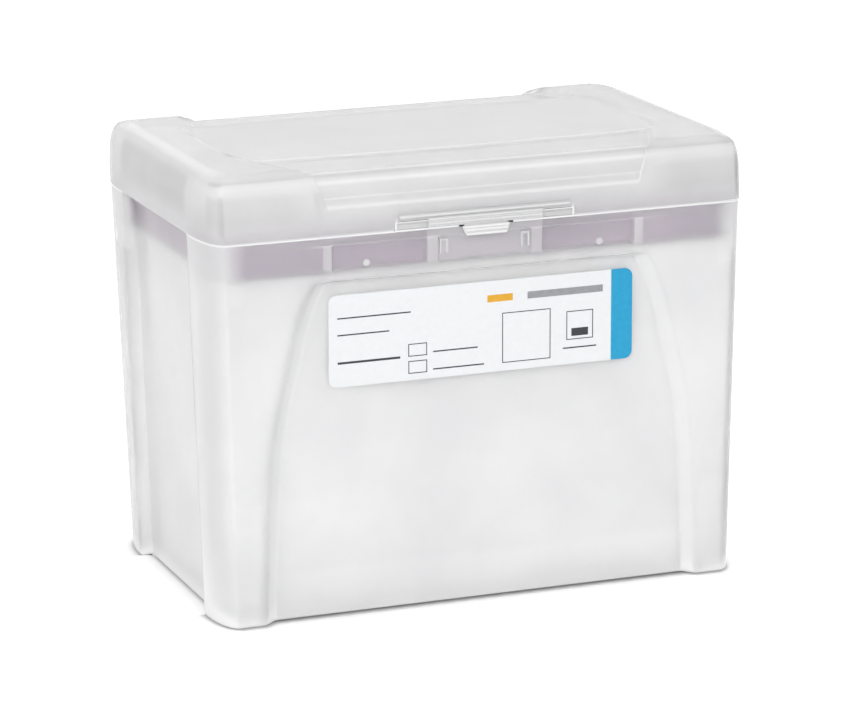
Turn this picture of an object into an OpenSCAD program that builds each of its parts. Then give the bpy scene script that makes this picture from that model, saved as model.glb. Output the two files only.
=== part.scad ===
// Hinged box of pipette tips: a tapered frosted base, a snap lid on a rear hinge,
// a drop-in tray and a full load of long tips in eight rows and twelve columns.
// Millimetres, +Z up. The front with the label faces -Y and the hinge is at +Y.
// The origin is on the ground, at the centre of the closed box's outline.

/* [Box] */
// Width across the lid's rim
rim_w = 127; // [122:0.5:132]
// Depth across the lid's rim, without hinge and latch
rim_d = 84.6; // [82:0.2:90]
// Height of the rim line, where lid and base meet
rim_h = 87; // [84:1:96]
// Width across the corner feet
foot_w = 123.4; // [120:0.2:124]
// Depth across the corner feet
foot_d = 78.4; // [77:0.2:82]
// Height of the corner feet under the front and back panels
foot_h = 0.8; // [0.6:0.2:3]
// Wall thickness of base and lid
wall = 1.3; // [1:0.1:1.6]
// Depth of the flat recess in each end wall
side_recess = 2.8; // [2:0.1:3.2]
// Width of the recess in each end wall
side_recess_w = 50.4; // [40:0.2:54]
// Depth of the arched panels in front and back
arch_depth = 2; // [1:0.1:2.4]
// Depth of the windows between the front ribs
window_depth = 1.2; // [0.8:0.1:1.6]

/* [Lid] */
// Height of the lid's corners above the rim line
lid_h = 14.3; // [13.5:0.1:20]
// Height of the stacking plateau above the lid's corners
plateau_h = 0.4; // [0.2:0.1:1.5]
// Half width of the finger notch in the lid's front edge
notch_half = 20.5; // [16:0.5:22]
// Half width of the snap tongue
tongue_half = 6.4; // [5:0.2:8]

/* [Hinge] */
// Distance of each hinge from the middle
hinge_x = 38; // [25:1:44]
// Outer radius of the hinge knuckles
knuckle_r = 1.6; // [1.4:0.1:2]
// Radius of the moulded pins
pin_r = 0.8; // [0.6:0.05:0.9]
// Radial clearance of a pin in its knuckle
pin_play = 0.05; // [0.02:0.01:0.1]

/* [Tray and tips] */
// Distance between neighbouring tips
pitch = 9; // [8.8:0.1:9]
// Length of a tip
tip_length = 89.2; // [60:0.2:89.4]
// Outer radius of a tip's collar
collar_r = 4.15; // [3.9:0.05:4.3]
// Radius of a tip's mouth
mouth_r = 3.45; // [3:0.05:3.5]
// Height of a tip's collar above the tray
collar_h = 4.8; // [4:0.2:6]
// Height of the tray's deck above the rim line
deck_rise = 2.4; // [1:0.2:4]

/* [Label] */
// Width of the label
label_w = 71.6; // [50:0.2:72]
// Height of the label
label_h = 20.8; // [12:0.2:22]
// Height of the label's middle above the ground
label_z = 62.8; // [50:0.1:64]

/* [Hidden] */

FROSTED = [0.92, 0.93, 0.93, 0.55];
LILAC = [0.62, 0.50, 0.66];
NATURAL = [0.95, 0.95, 0.95, 0.8];
WHITE = [0.96, 0.97, 0.98];

eps = 0.01;
thin = 0.02;
big = 200;
columns = 12;
rows = 8;

// corner of the outline: a short arc across the width, a long one along the depth
corner_rx = 4;
corner_ry = 13;
corner_steps = 9;

base_top = rim_h - 0.3;
base_half_x = rim_w/2 - 0.2;
base_half_y = rim_d/2 - 0.2;
tilt_front = atan((base_half_y - foot_d/2)/rim_h);
tilt_side = atan((base_half_x - foot_w/2)/rim_h);
floor_t = 1.4;

rail_z = rim_h - 10.4;
window_z0 = rim_h - 7.7;
window_z1 = rim_h - 2;
rib_x = [12.2, 36.6];
rib_w = 2.2;
ledge_t = 0.6;
foot_inner_x = 49;
foot_ease = 0.4;
arch_slope = 2.8;
side_gap = 0.3;
hook_x = 9.5;
hook_w = 2;
hook_h = 3.4;
hook_leg = 0.5;
hook_reach = 0.9;
boss_x = 27.3;
boss_r = 0.65;
lip_gap = 0.3;
lip_h = 1.5;

lid_top = rim_h + lid_h;
strip_drop = 0.9;
recess_y = 20;
recess_back_x = 47;
recess_front_x = 40.6;
recess_flare = 0.65;
plateau_x = 46.4;
plateau_y = 23.4;
plateau_end_x = 51.6;
plateau_slope = 3.6;
notch_h = 1.9;
strip_t = 1.4;
latch_plate_half = 13.4;
grip_r = 0.32;
hinge_y = base_half_y + knuckle_r + 0.5;
knuckle_l = 5.4;
arm_t = 1.3;
ear_t = 2;
ear_h = 2.6;
play = 0.3;

latch_front = rim_d/2 + 1.2;
hinge_back = hinge_y + knuckle_r;
y_mid = (hinge_back - latch_front)/2;

deck_z = rim_h + deck_rise;
deck_t = 1.6;
flange_z0 = window_z1 + ledge_t + 0.1;
flange_z1 = rim_h - 0.1;
skirt_z0 = rim_h - 8.2;
skirt_half_x = base_half_x - side_recess - wall - 0.5;
skirt_half_y = base_half_y - window_depth - wall - 0.3;
skirt_t = 1.3;
tip_top = deck_z + collar_h;
tip_hole_r = collar_r - 0.4;

label_r = 1.8;
label_t = 0.25;

// ---------------------------------------------------------------- outlines

// points of one rounded corner, as seen from above
function corner(cx, cy, rx, ry, a0) =
    [for (i = [0:corner_steps])
        let (a = a0 + 90*i/corner_steps) [cx + rx*cos(a), cy + ry*sin(a)]];

// outline of the box, hx by hy from the middle, with the corners eased by "inset"
function outline(hx, hy, inset = 0) =
    let (rx = max(corner_rx - inset, 1.6), ry = max(corner_ry - inset, 3))
    concat(corner(hx - rx, hy - ry, rx, ry, 0),
           corner(rx - hx, hy - ry, rx, ry, 90),
           corner(rx - hx, ry - hy, rx, ry, 180),
           corner(hx - rx, ry - hy, rx, ry, 270));

// a thin slice of the box at height z
module slice(hx, hy, z, inset = 0) {
    translate([0, 0, z])
        linear_extrude(thin)
            polygon(outline(hx, hy, inset));
}

// moves a module from the box's own middle to the closed outline's middle
module centred() {
    translate([0, -y_mid, 0])
        children();
}

// the same shape at the front and, turned round, at the back
module front_and_back() {
    children();
    rotate([0, 0, 180])
        children();
}

// a bar along X, drawn as its [y, z] profile
module bar(profile, length) {
    translate([-length/2, 0, 0])
        rotate([90, 0, 90])
            linear_extrude(length)
                polygon(profile);
}

// ---------------------------------------------------------------- base

// half outline of the arched panel, from the rail down to the floor
arch_side = [[38, rail_z + 1.6], [39.8, 75.6], [41.5, 72.6], [42.9, 68.5], [44.3, 63.4], [45.9, 57.5],
             [47.4, 51], [48.6, 45], [49.6, 39], [50.2, 33], [50.6, 26], [51, 17], [51.4, 4], [51.6, -6]];

function mirror_x(side) =
    concat(side, [for (i = [len(side) - 1:-1:0]) [-side[i][0], side[i][1]]]);

function narrowed(side, by) =
    [for (p = side) [p[0] - by, min(p[1], rail_z)]];

// what the arched panel takes out of the front; "grow" is the wall behind it
module arch_cut(grow) {
    translate([0, -foot_d/2, 0])
        rotate([tilt_front, 0, 0])
            hull() {
                translate([0, -1 + thin, 0])
                    rotate([90, 0, 0])
                        linear_extrude(thin)
                            polygon(mirror_x(narrowed(arch_side, -arch_slope/arch_depth - grow)));
                translate([0, arch_depth + grow, 0])
                    rotate([90, 0, 0])
                        linear_extrude(thin)
                            polygon(mirror_x(narrowed(arch_side, arch_slope - grow)));
            }
}

// what the flat recess takes out of both end walls
module side_cuts(grow) {
    for (s = [-1, 1])
        translate([s*foot_w/2, 0, 0])
            rotate([0, s*tilt_side, 0])
                translate([s*(big/2 - side_recess - grow), 0, 0])
                    cube([big, side_recess_w + 2*grow, 2*big], center = true);
}

// what the three windows take out of the front, under the rim
module window_cuts(grow) {
    spans = [[-rib_x[1], -rib_x[0]], [-rib_x[0], rib_x[0]], [rib_x[0], rib_x[1]]];
    for (s = spans)
        translate([s[0] + rib_w/2 - grow, -big, window_z0 - grow])
            cube([s[1] - s[0] - rib_w + 2*grow,
                  big - base_half_y + window_depth + grow,
                  window_z1 - window_z0 + grow + min(grow, ledge_t)]);
}

module base_outer() {
    difference() {
        hull() {
            slice(foot_w/2 - foot_ease, foot_d/2 - foot_ease, 0, foot_ease);
            slice(foot_w/2, foot_d/2, foot_h, 0);
            slice(base_half_x, base_half_y, base_top - thin, 0);
        }
        front_and_back()
            arch_cut(0);
        side_cuts(0);
        window_cuts(0);
        translate([0, 0, foot_h/2 - 1])
            cube([2*foot_inner_x, big, foot_h + 2], center = true);
        translate([0, 0, side_gap/2 - 1])
            cube([big, side_recess_w + 2, side_gap + 2], center = true);
    }
}

module base_inner() {
    difference() {
        hull() {
            slice(foot_w/2 - wall, foot_d/2 - wall, foot_h + floor_t, wall);
            slice(base_half_x - wall, base_half_y - wall, base_top + 1, wall);
        }
        front_and_back()
            arch_cut(wall);
        side_cuts(wall);
        window_cuts(wall);
    }
}

// small moulded hook in the latch pocket, like a narrow arch
module pocket_hook(x) {
    front = -base_half_y + window_depth + eps - hook_reach;
    top = window_z1 - 0.8;
    translate([x - hook_w/2, front, top - hook_leg])
        cube([hook_w, hook_reach, hook_leg]);
    for (dx = [-hook_w/2, hook_w/2 - hook_leg])
        translate([x + dx, front, top - hook_h])
            cube([hook_leg, hook_reach, hook_h]);
}

// small round boss on the window's floor
module window_boss(x) {
    translate([x, -base_half_y + window_depth + eps, window_z0 + 1])
        rotate([90, 0, 0])
            cylinder(r = boss_r, h = 0.6, $fn = 24);
}

module hinge_knuckle(x) {
    difference() {
        union() {
            translate([x - knuckle_l/2, hinge_y, rim_h])
                rotate([0, 90, 0])
                    cylinder(r = knuckle_r, h = knuckle_l, $fn = 48);
            translate([x - knuckle_l/2, base_half_y - wall/3, rim_h - knuckle_r])
                cube([knuckle_l, hinge_y - base_half_y + wall/3, arm_t]);
        }
        translate([x - knuckle_l, hinge_y, rim_h])
            rotate([0, 90, 0])
                cylinder(r = pin_r + pin_play, h = 2*knuckle_l, $fn = 48);
    }
}

module base_box() {
    color(FROSTED)
        centred() {
            difference() {
                base_outer();
                base_inner();
            }
            // raised lip that fills the lid's finger notch
            translate([-notch_half + lip_gap, -base_half_y + 0.05, base_top - 0.5])
                cube([2*(notch_half - lip_gap), wall - 0.1, lip_h + 0.5]);
            for (x = [-hook_x, hook_x])
                pocket_hook(x);
            for (x = [-boss_x, boss_x])
                window_boss(x);
            for (x = [-hinge_x, hinge_x])
                hinge_knuckle(x);
        }
}

// ---------------------------------------------------------------- lid

// what the sloping recess takes out of the lid's top and front edge
module front_recess(grow) {
    top = lid_top - strip_drop - grow;
    fy = -rim_d/2 + grow;
    low = rim_h + 6.1 - grow/2;
    function side_x(half, z) = half + recess_flare*(z - lid_top) + grow;
    intersection() {
        bar([[grow - recess_y, lid_top + 2], [grow - recess_y, top], [fy + 4, top - 0.2],
             [fy + 2.1, top - 2], [fy + 2, low + 1.5],
             [fy - 0.2, low], [fy - 3, low],
             [fy - 3, lid_top + 2]], big);
        hull()
            for (z = [rim_h + 4, lid_top + 3])
                translate([0, 0, z])
                    linear_extrude(thin)
                        polygon([[-side_x(recess_back_x, z), -recess_y + 1],
                                 [side_x(recess_back_x, z), -recess_y + 1],
                                 [side_x(recess_front_x, z), -rim_d/2 - 4],
                                 [-side_x(recess_front_x, z), -rim_d/2 - 4]]);
    }
}

// side profile of the lid, [how far the wall leans in, depth below the top]
lid_profile = [[0, lid_h], [0.15, 7.3], [0.45, 4.5], [0.95, 2.4],
               [1.6, 1.25], [2.4, 0.7], [3.5, 0.3], [5.4, thin]];

module lid_outer() {
    difference() {
        hull() {
            for (p = lid_profile)
                slice(rim_w/2 - p[0], rim_d/2 - p[0], lid_top - p[1], p[0]);
        }
        front_and_back()
            front_recess(0);
    }
}

module lid_inner() {
    difference() {
        hull() {
            slice(rim_w/2 - wall, rim_d/2 - wall, rim_h - 1, wall);
            for (p = lid_profile)
                slice(rim_w/2 - wall - p[0], rim_d/2 - wall - p[0],
                      lid_top - max(p[1] + 0.2, wall), p[0] + wall);
        }
        front_and_back()
            front_recess(wall);
    }
}

// one long edge of the plateau, bowed outwards in the middle
function bowed_edge(half, y) =
    [for (t = [-1:0.25:1]) [half*t, -y - 2*(1 - t*t)]];

// outline of the plateau with short bowed ends
function plateau_plan(half, y, end_x, end_y) =
    let (front = bowed_edge(half, y))
    concat(front, [[end_x - 0.6, -end_y], [end_x, 0], [end_x - 0.6, end_y]],
           [for (p = front) -p], [[0.6 - end_x, end_y], [-end_x, 0], [0.6 - end_x, -end_y]]);

// raised plateau that the feet of a box stacked on top sit round
module plateau() {
    bottom = lid_top - strip_drop - 0.3;
    hull() {
        translate([0, 0, bottom])
            linear_extrude(strip_drop + 0.3)
                polygon(plateau_plan(plateau_x, plateau_y, plateau_end_x, 14));
        translate([0, 0, lid_top + plateau_h - thin])
            linear_extrude(thin)
                polygon(plateau_plan(plateau_x - 0.4, plateau_y - 0.4,
                                     plateau_end_x - plateau_slope, 10));
    }
}

// grip ridges of the tongue, [inset from its side, depth below the rim line]
grip_rows = [[0.5, 0.4], [1.1, 1.2], [1.8, 2.1]];

module latch() {
    face = rim_d/2;
    // thickened strip over the notch
    translate([0.5 - notch_half, -face - 0.4, rim_h + notch_h - 0.1])
        cube([2*notch_half - 1, strip_t, strip_t]);
    // plate in front of the base's raised lip
    translate([-latch_plate_half, -face - 0.9, rim_h + 0.2])
        cube([2*latch_plate_half, 0.8, 2.9]);
    // snap tongue
    translate([0, -face - 0.1, rim_h])
        rotate([90, 0, 0])
            linear_extrude(0.8)
                polygon([[-tongue_half, 0.4], [-tongue_half, -0.2], [1.8 - tongue_half, -2.4],
                         [tongue_half - 1.8, -2.4], [tongue_half, -0.2], [tongue_half, 0.4]]);
    for (g = grip_rows)
        translate([g[0] - tongue_half, -latch_front + grip_r, rim_h - g[1]])
            rotate([0, 90, 0])
                cylinder(r = grip_r, h = 2*(tongue_half - g[0]), $fn = 24);
}

module hinge_ears(x) {
    reach = knuckle_l/2 + play;
    for (s = [-1, 1]) {
        translate([x + s*(reach + ear_t/2) - ear_t/2, hinge_y, rim_h])
            rotate([0, 90, 0])
                cylinder(r = knuckle_r, h = ear_t, $fn = 48);
        translate([x + s*(reach + ear_t/2) - ear_t/2, rim_d/2 - wall/2, rim_h + 0.2])
            cube([ear_t, hinge_y - rim_d/2 + wall/2, ear_h]);
    }
    translate([x - reach - eps, hinge_y, rim_h])
        rotate([0, 90, 0])
            cylinder(r = pin_r, h = 2*(reach + eps), $fn = 48);
}

// finger notch in the lid's front edge
module notch_cut() {
    translate([0, -rim_d/2 + 3, rim_h])
        rotate([90, 0, 0])
            linear_extrude(6)
                polygon([[-notch_half - 0.8, -1], [-notch_half - 0.6, 0], [-notch_half, notch_h],
                         [notch_half, notch_h], [notch_half + 0.6, 0], [notch_half + 0.8, -1]]);
}

module hinged_lid() {
    color(FROSTED)
        centred() {
            difference() {
                lid_outer();
                lid_inner();
                notch_cut();
            }
            plateau();
            latch();
            for (x = [-hinge_x, hinge_x])
                hinge_ears(x);
        }
}

// ---------------------------------------------------------------- tray and tips

// plan of the tray's flange, which follows the inside of the base
module flange_plan() {
    hx = base_half_x - wall - 0.5;
    hy = base_half_y - wall - 0.3;
    cut_x = base_half_x - side_recess - wall - 0.4;
    cut_y = side_recess_w/2 + wall + 0.5;
    difference() {
        polygon(outline(hx, hy, 1.8));
        for (s = [-1, 1])
            translate([s*(cut_x + big/2), 0])
                square([big, 2*cut_y], center = true);
    }
}

module tip_tray() {
    color(LILAC)
        centred()
            difference() {
                union() {
                    translate([0, 0, flange_z0])
                        linear_extrude(flange_z1 - flange_z0)
                            flange_plan();
                    translate([0, 0, skirt_z0])
                        linear_extrude(deck_z - skirt_z0)
                            polygon(outline(skirt_half_x, skirt_half_y, 2.4));
                }
                translate([0, 0, skirt_z0 - 1])
                    linear_extrude(deck_z - deck_t - skirt_z0 + 1)
                        polygon(outline(skirt_half_x - skirt_t, skirt_half_y - skirt_t, 3));
                for (i = [0:columns - 1], j = [0:rows - 1])
                    translate([(i - 5.5)*pitch, (j - 3.5)*pitch, deck_z - deck_t - 1])
                        cylinder(r = tip_hole_r, h = deck_t + 2, $fn = 40);
            }
}

// half section of one tip, [radius, depth below the mouth]
function tip_section() =
    let (l = tip_length, c = collar_h, m = mouth_r, n = tip_hole_r - 0.15)
    [[m, 0], [collar_r - 0.2, 0], [collar_r, 0.4], [collar_r, c - 0.3],
     [collar_r - 0.3, c], [n, c], [n - 0.15, c + 8], [n - 0.75, c + 9.2],
     [n - 1.3, l*0.52], [1.25, l*0.78], [0.65, l], [0.35, l], [0.7, l*0.78],
     [n - 1.95, l*0.52], [m - 0.75, 15], [m - 0.35, 10], [m, 8]];

module tip(x, y) {
    translate([x, y, tip_top])
        rotate_extrude($fn = 32)
            polygon([for (p = tip_section()) [p[0], -p[1]]]);
}

module tips_column(i) {
    color(NATURAL)
        centred()
            for (j = [0:rows - 1])
                tip((i - 6.5)*pitch, (j - 3.5)*pitch);
}

// ---------------------------------------------------------------- label

module front_label() {
    color(WHITE)
        centred()
            translate([0, -foot_d/2, 0])
                rotate([tilt_front, 0, 0])
                    translate([0, arch_depth, label_z])
                        rotate([90, 0, 0])
                            linear_extrude(label_t) {
                                square([label_w - 2*label_r, label_h], center = true);
                                square([label_w, label_h - 2*label_r], center = true);
                                for (sx = [-1, 1], sz = [-1, 1])
                                    translate([sx*(label_w/2 - label_r), sz*(label_h/2 - label_r)])
                                        circle(r = label_r, $fn = 32);
                            }
}

base_box();
hinged_lid();
tip_tray();
front_label();
tips_column(1);  // tips_column_01
tips_column(2);  // tips_column_02
tips_column(3);  // tips_column_03
tips_column(4);  // tips_column_04
tips_column(5);  // tips_column_05
tips_column(6);  // tips_column_06
tips_column(7);  // tips_column_07
tips_column(8);  // tips_column_08
tips_column(9);  // tips_column_09
tips_column(10);  // tips_column_10
tips_column(11);  // tips_column_11
tips_column(12);  // tips_column_12
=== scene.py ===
import bmesh
import bpy
import math
from mathutils import Matrix, Vector


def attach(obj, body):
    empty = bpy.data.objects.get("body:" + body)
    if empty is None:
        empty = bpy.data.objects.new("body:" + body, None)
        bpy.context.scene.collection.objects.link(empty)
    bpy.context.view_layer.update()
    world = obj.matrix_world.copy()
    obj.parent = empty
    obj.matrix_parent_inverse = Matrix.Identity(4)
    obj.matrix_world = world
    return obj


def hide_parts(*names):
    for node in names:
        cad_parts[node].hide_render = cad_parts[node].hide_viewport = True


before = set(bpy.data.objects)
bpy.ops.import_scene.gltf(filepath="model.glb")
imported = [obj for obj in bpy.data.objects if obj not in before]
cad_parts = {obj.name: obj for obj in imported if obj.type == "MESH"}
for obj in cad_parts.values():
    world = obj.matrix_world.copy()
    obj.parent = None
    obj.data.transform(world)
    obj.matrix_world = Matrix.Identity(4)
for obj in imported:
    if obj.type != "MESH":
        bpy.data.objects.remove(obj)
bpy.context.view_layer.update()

# ---------------------------- base
# Tall tapered box, moulded in one piece from natural polypropylene, which is milky and
# shows only what lies close behind it. Corner columns end in feet; the end walls and the
# arched front and back panels are set back, and shallow windows sit under the rim.

MIDDLE_Y = -1.15   # pieces are drawn in millimetres round the box's own middle, which lies here
WALL = 1.3
BASE_TOP = 86.97
FOOT_X, FOOT_Y = 61.7, 39.2     # half the outside at the foot and at the top
TOP_X, TOP_Y = 63.3, 42.1
CORNER_X, CORNER_Y = 4.0, 13.0  # the corners are rounded three times as far along the ends
SIDE_RECESS = 2.8
ARCH_DEPTH = 2.0
ARCH_TOP = 77.0
WINDOW_DEPTH = 0.8
WINDOW_LOW, WINDOW_HIGH = 79.4, 85.0
RIB_X = (11.0, 13.4), (35.5, 37.6)   # from where to where the ribs between the windows reach
FOOT_LIFT = 0.35                # the panels end so far above the floor
FOOT_HOLLOW = 0.6
# half width of the arched panel by height
ARCH = ((-5, 51.8), (2, 51.6), (10, 51.3), (18, 51.0), (26, 50.6), (33, 50.1), (40, 49.5), (45.5, 48.6),
        (51.3, 47.3), (58, 45.6), (64, 44.1), (69, 42.6), (73.4, 40.9), (76, 39.3), (78.6, 37.8), (90, 37.7))

# columns of a quarter of the wall, from the middle of the front to the middle of the end: what
# it crosses, where, its share of the window's depth and of the arch's. Where is x on the panel;
# x above the arch and how far from the arch's edge below on its slope; the share of the way
# from there to the corner on the land; the corner's angle; and y with the share of the recess
BASE_COLUMNS = (
    [("panel", x, w, 1) for x, w in (
        (0, 1), (5, 1), (9.9, 1), (10.35, 1), (10.62, 0.93), (10.9, 0.1), (11.15, 0), (12.2, 0),
        (13.25, 0), (13.5, 0.1), (13.78, 0.93), (14.05, 1), (14.5, 1), (20, 1), (27, 1), (33, 1))]
    + [("slope", at, w, a) for at, w, a in (
        ((34.5, -4.2), 1, 1), ((34.9, -3.3), 1, 0.99), ((35.15, -2.95), 0.93, 0.96),
        ((35.42, -2.5), 0.1, 0.86), ((35.65, -1.9), 0, 0.65), ((36.4, -1.0), 0, 0.33),
        ((37.1, -0.4), 0, 0.12), ((37.5, 0.1), 0, 0.03), ((38.2, 0.6), 0, 0))]
    + [("land", share, 0, 0) for share in (0.25, 0.55, 0.8, 1)]
    + [("corner", angle, 0, 0) for angle in (9, 18, 27, 36, 45, 54, 63, 72, 81, 90)]
    + [("end", (y, s), 0, 0) for y, s in (
        (-26.0, 0), (-25.55, 0.02), (-25.3, 0.14), (-25.15, 0.5), (-25.0, 0.86), (-24.8, 0.98), (-24.4, 1),
        (-23.5, 1), (-16, 1), (-8, 1), (0, 1))])

# rows of the outside, upwards: height, window share, arch share, how far the edge is eased
BASE_ROWS = (
    [(0, 0, 1, 0.55), (0.1, 0, 1, 0.25), (0.3, 0, 1, 0.08), (0.6, 0, 1, 0), (1.4, 0, 1, 0)]
    + [(z, 0, 1, 0) for z in (4, 8, 12, 16, 20, 24, 28, 32, 36, 40, 43, 46, 49, 52, 55, 58, 61, 64,
                              66.5, 69, 71, 73, 74.6, 75.7)]
    + [(76.1, 0, 0.99, 0), (76.35, 0, 0.9, 0), (76.6, 0, 0.5, 0), (76.85, 0, 0.1, 0), (77.1, 0, 0.01, 0)]
    + [(z, 0, 0, 0) for z in (77.6, 78.3, 78.95)]
    + [(79.15, 0.06, 0, 0), (79.32, 0.5, 0, 0), (79.5, 0.94, 0, 0), (79.75, 1, 0, 0), (82, 1, 0, 0),
       (84.45, 1, 0, 0), (84.7, 0.94, 0, 0), (84.85, 0.5, 0, 0), (84.98, 0.06, 0, 0), (85.15, 0, 0, 0)]
    + [(85.9, 0, 0, 0), (86.55, 0, 0, 0), (86.8, 0, 0, 0), (86.9, 0, 0, 0.03), (BASE_TOP, 0, 0, 0.1)])

# rows of the inside, from the floor up
INSIDE_ROWS = (
    [(1.3, 0, 1, 0.6), (1.6, 0, 1, 0.15), (2.3, 0, 1, 0)]
    + [(z, 0, 1, 0) for z in (12, 20, 28, 36, 43, 49, 55, 61, 66.5, 71, 74.6, 75.9)]
    + [(76.5, 0, 0.5, 0), (77.0, 0.1, 0, 0), (77.8, 0.2, 0, 0), (78.2, 1, 0, 0), (84, 1, 0, 0),
       (85.4, 1, 0, 0), (85.6, 0, 0, 0), (86.4, 0, 0, 0), (BASE_TOP, 0, 0, -0.2)])


def between(table, at):
    """The value at a place, from (place, value) pairs in rising order with straight lines between them."""
    for (a, low), (b, high) in zip(table, table[1:]):
        if at <= b:
            return low + (high - low) * (at - a) / (b - a)
    return table[-1][1]


def ramp(at, start, end):
    """Goes from 0 to 1 while at goes from start to end, and stays there."""
    return min(max((at - start) / (end - start), 0), 1)


def base_light(kind, at, z, back):
    """Painted light on the outside there: whiter and less see-through above 0, and greyer below 0 as painted
    shade; the thick columns also let less of the tray show.
    """
    light, hiding = -0.03, 0
    # painted highlight on the front corners, the front columns' ends and the top of the arch's slope, and
    # painted shade on the back columns' ends
    if kind == "corner":
        light = light if back else 0.008 * at
        hiding = 1
    elif kind == "end":
        light = (-0.15 if back else 0.5) * (1 - at[1])
        hiding = at[1] <= 0.5
    elif kind == "land":
        hiding = at == 1
    elif kind == "slope" and -3 < at[1] < -0.9 and not back:
        light = 0.5 * ramp(z, ARCH_TOP, ARCH_TOP - 2)
    # the thick columns hide the tray
    light += (0.55 - light) * hiding * ramp(z, 73, 78)
    # painted light along the window's top step, and painted light towards the floor, more on the columns,
    # where the wall's foot would look dark
    if kind in ("panel", "slope"):
        light += 0.3 * (WINDOW_HIGH - 0.4 < z < WINDOW_HIGH + 0.1) + 0.3 * ramp(z, 10, 0)
    else:
        light += 0.45 * ramp(z, 24, 0)
    return light + 0.7 * ramp(z, 4, 0)


def base_point(column, row, wall, back):
    """Where a column and a row cross, on the outside (wall 0) or on the inside, and its painted light."""
    kind, at, window, arch = column
    z, row_window, row_arch, ease = row
    half_x = FOOT_X + (TOP_X - FOOT_X) * z / BASE_TOP - wall - ease
    half_y = FOOT_Y + (TOP_Y - FOOT_Y) * z / BASE_TOP - wall - ease
    round_x, round_y = CORNER_X - 0.6 * wall, CORNER_Y - 1.85 * wall
    if wall and kind == "panel":
        window = 1
    if back:
        window = 0
    depth = max(WINDOW_DEPTH * window * row_window, ARCH_DEPTH * arch * row_arch)
    edge = between(ARCH, z) + wall
    land = edge + 0.6
    y = depth - half_y
    if kind == "panel":
        x = at
    elif kind == "slope":
        above = ramp(z, ARCH_TOP, ARCH_TOP + 1.5)
        x = (at[0] + wall) * above + (edge + at[1]) * (1 - above)
    elif kind == "land":
        x = land + (half_x - round_x - land) * at
    elif kind == "corner":
        turn = math.radians(at)
        x = half_x - round_x + round_x * math.sin(turn)
        y = round_y - half_y - round_y * math.cos(turn)
    else:
        x = half_x - SIDE_RECESS * at[1]
        y = at[0] - (wall if at[0] < -20 else 0)
    if wall:
        return Vector((x, -y if back else y, z)), 0
    z += FOOT_LIFT * arch * ramp(z, 5, 0)
    return Vector((x, -y if back else y, z)), base_light(kind, at, z, back)


def add_quarter(bm, columns, rows, place, skin):
    """Adds a grid to bm with a point wherever a column crosses a row; skin is its material's number."""
    painted_light = bm.verts.layers.float["painted_light"]
    points = bmesh.ops.create_grid(bm, x_segments=len(columns) - 1, y_segments=len(rows) - 1, size=1)["verts"]
    for k, point in enumerate(points):
        point.co, point[painted_light] = place(columns[k % len(columns)], rows[k // len(columns)])
        for face in point.link_faces:
            face.material_index = skin


def everything(bm):
    """All the points, edges and faces of bm."""
    return bm.verts[:] + bm.edges[:] + bm.faces[:]


def close_round(bm):
    """Mirrors bm from the right to the left half and joins all its seams."""
    bmesh.ops.mirror(bm, geom=everything(bm), axis="X", merge_dist=0.001)
    bmesh.ops.remove_doubles(bm, verts=bm.verts, dist=0.002)


def open_edge(bm, skin, top):
    """The open edges at the top or the bottom of one skin."""
    edges = [e for e in bm.edges if e.is_boundary and e.link_faces[0].material_index == skin]
    middle = sum(e.verts[0].co.z for e in edges) / len(edges)
    return [e for e in edges if (e.verts[0].co.z > middle) == top]


def grown(made, kind=bmesh.types.BMVert):
    """The points, or the edges, that an extrusion has just made."""
    return [part for part in made["geom"] if isinstance(part, kind)]


def add_object(name, data):
    """Puts a new object with this data in the scene."""
    new = bpy.data.objects.new(name, data)
    bpy.context.scene.collection.objects.link(new)
    return new


def make_piece(bm, name, materials, body, slot, *nodes):
    """Makes the finished bm a piece of the model, in metres and in the frame, that rides on a body."""
    bmesh.ops.recalc_face_normals(bm, faces=bm.faces)
    bmesh.ops.translate(bm, verts=bm.verts, vec=(0, MIDDLE_Y, 0))
    bmesh.ops.scale(bm, verts=bm.verts, vec=(0.001, 0.001, 0.001))
    mesh = bpy.data.meshes.new(name)
    bm.to_mesh(mesh)
    bm.free()
    for material in materials:
        mesh.materials.append(material)
    mesh.polygons.foreach_set("use_smooth", [True] * len(mesh.polygons))
    mesh.set_sharp_from_angle(angle=math.radians(62))
    piece = add_object(name, mesh)
    weighted = piece.modifiers.new("weighted_normals", "WEIGHTED_NORMAL")
    weighted.keep_sharp = True
    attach(piece, body)
    if nodes:
        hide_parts(*nodes)


def linear(code):
    """The linear colour that a shader takes, for an sRGB hex code."""
    parts = [int(code[i:i + 2], 16) / 255 for i in (1, 3, 5)]
    return [p / 12.92 if p <= 0.04045 else ((p + 0.055) / 1.055) ** 2.4 for p in parts] + [1]


def add_node(tree, kind, values=None, links=None, **settings):
    """Adds a node with its own settings, values for its sockets, and links from other nodes' outputs."""
    new = tree.nodes.new("ShaderNode" + kind)
    for key, value in settings.items():
        setattr(new, key, value)
    for socket, value in (values or {}).items():
        new.inputs[socket].default_value = value
    for socket, output in (links or {}).items():
        tree.links.new(output, new.inputs[socket])
    return new


def new_material(name, size, darker, paler):
    """A material that holds a faint mottle of two colours, so many millimetres across, and its tree."""
    material = bpy.data.materials.new(name)
    material.use_nodes = True
    tree = material.node_tree
    tree.nodes.clear()
    place = add_node(tree, "TexCoord")
    mottle = add_node(tree, "TexNoise", {"Scale": 1000 / size, "Detail": 3},
                      {"Vector": place.outputs["Object"]})
    tint = add_node(tree, "ValToRGB", {}, {"Fac": mottle.outputs["Fac"]})
    for stop, at, code in zip(tint.color_ramp.elements, (0.35, 0.65), (darker, paler)):
        stop.position = at
        stop.color = linear(code)
    return material, tree, place.outputs["Object"], mottle.outputs["Fac"], tint.outputs["Color"]


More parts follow.
